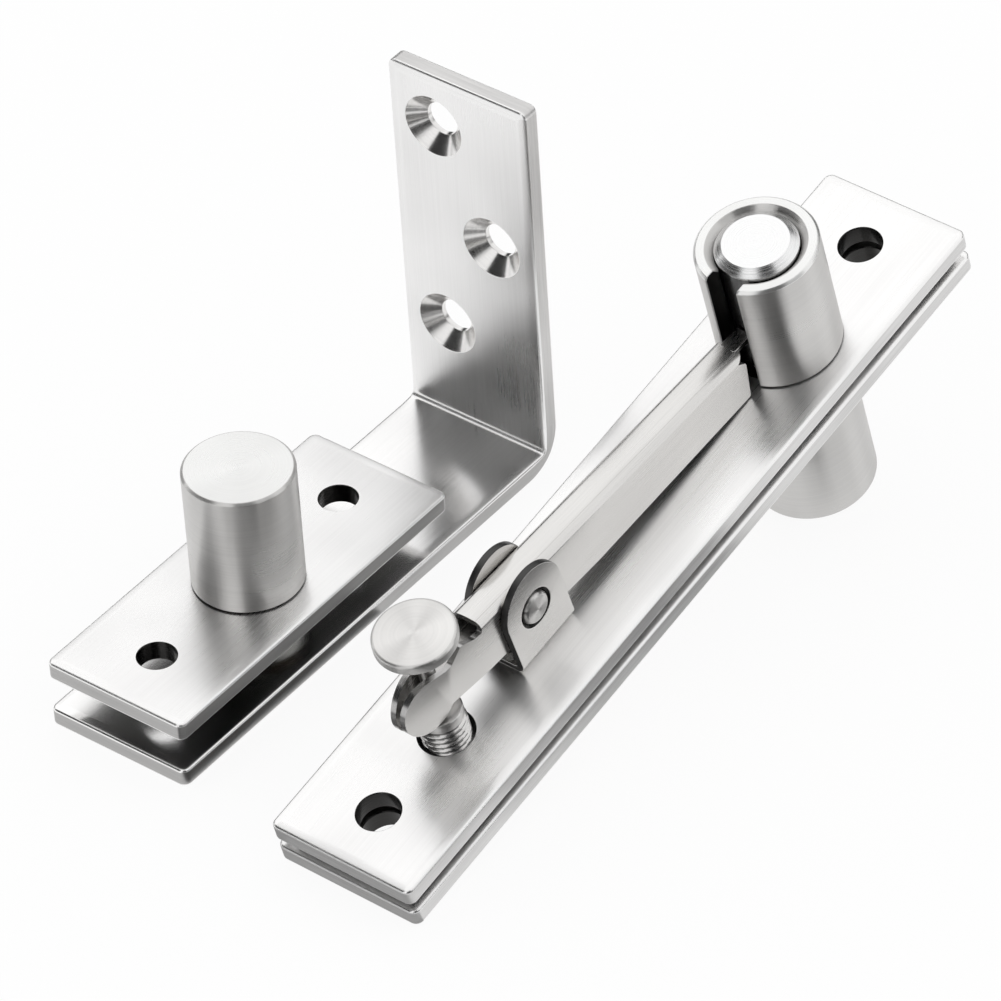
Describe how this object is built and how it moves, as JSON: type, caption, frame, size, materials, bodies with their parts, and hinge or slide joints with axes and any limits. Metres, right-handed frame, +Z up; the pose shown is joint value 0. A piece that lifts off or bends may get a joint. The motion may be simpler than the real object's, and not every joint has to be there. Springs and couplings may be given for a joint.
{
  "type": "pivot hinge",
  "caption": "Concealed door pivot: an angle bracket with a swivelling plate and barrel, and a paired top plate whose pin a screw and a lever draw out of its socket.",
  "frame": {"origin": "on the lower pivot's axis, at the underside of the bracket's arm", "axes": "+Z up along the lower pivot's axis, +X along the strips towards the bracket's leg, +Y from the upper pivot towards the lower one"},
  "size_m": [0.1287, 0.0693, 0.0633],
  "materials": {
    "strip_steel": "satin, brushed lengthwise",
    "turned_steel": "turned, fine rings",
    "pressed_steel": "smooth satin sheet",
    "bearing_steel": "ground and polished",
    "bronze": "plain bearing bronze"
  },
  "bodies": {
    "frame_side": {"floor_bracket": "strip_steel", "pivot_stud": "turned_steel", "thrust_race_lower": "bearing_steel", "frame_plate": "strip_steel", "slotted_barrel": "turned_steel", "clevis": "pressed_steel", "clevis_rivets": "turned_steel", "lever_rivet": "turned_steel"},
    "ball_set": {"thrust_cage": "bronze", "thrust_balls": "bearing_steel"},
    "lower_leaf": {"lower_door_plate": "strip_steel", "lower_barrel": "turned_steel", "lower_bush": "bronze", "thrust_race_upper": "bearing_steel"},
    "upper_leaf": {"upper_door_plate": "strip_steel", "socket_barrel": "turned_steel", "socket_bush": "bronze", "spacer_washer": "bronze"},
    "pin": {"sliding_pin": "turned_steel"},
    "lever": {"lever": "pressed_steel"},
    "screw_carrier": {"thrust_collar": "turned_steel"},
    "screw": {"adjusting_screw": "turned_steel"}
  },
  "joints": [
    {"name": "lower_pivot_turn", "type": "hinge", "parent": "frame_side", "child": "lower_leaf", "pos_m": [0, 0, 0.0112], "axis": [0, 0, 1], "continuous": true},
    {"name": "ball_set_turn", "type": "hinge", "parent": "frame_side", "child": "ball_set", "pos_m": [0, 0, 0.0056], "axis": [0, 0, 1], "continuous": true},
    {"name": "upper_pivot_turn", "type": "hinge", "parent": "frame_side", "child": "upper_leaf", "pos_m": [0.06528, -0.04484, 0.02589], "axis": [-0.2256, 0.0039, 0.9742], "range_deg": [0, 180]},
    {"name": "screw_lift", "type": "slide", "parent": "frame_side", "child": "screw_carrier", "axis": [0.2256, -0.0039, -0.9742], "range_m": [0, 0.0044]},
    {"name": "screw_turn", "type": "hinge", "parent": "screw_carrier", "child": "screw", "pos_m": [-0.01133, -0.0435, 0.01277], "axis": [0.2256, -0.0039, -0.9742], "range_deg": [0, 1584]},
    {"name": "lever_tilt", "type": "hinge", "parent": "frame_side", "child": "lever", "pos_m": [0.00451, -0.04378, 0.02547], "axis": [-0.0175, -0.9998, 0], "range_deg": [0, 11.53]},
    {"name": "pin_slide", "type": "slide", "parent": "frame_side", "child": "pin", "axis": [-0.2256, 0.0039, 0.9742], "range_m": [0, 0.01143]}
  ],
  "couplings": [
    {"joint": "ball_set_turn", "follows": "lower_pivot_turn", "ratio": 0.5},
    {"joint": "lever_tilt", "follows": "pin_slide", "rad_per_m": 17.604},
    {"joint": "screw_lift", "follows": "pin_slide", "ratio": 0.38495},
    {"joint": "screw_turn", "follows": "pin_slide", "rad_per_m": 2418.7}
  ]
}
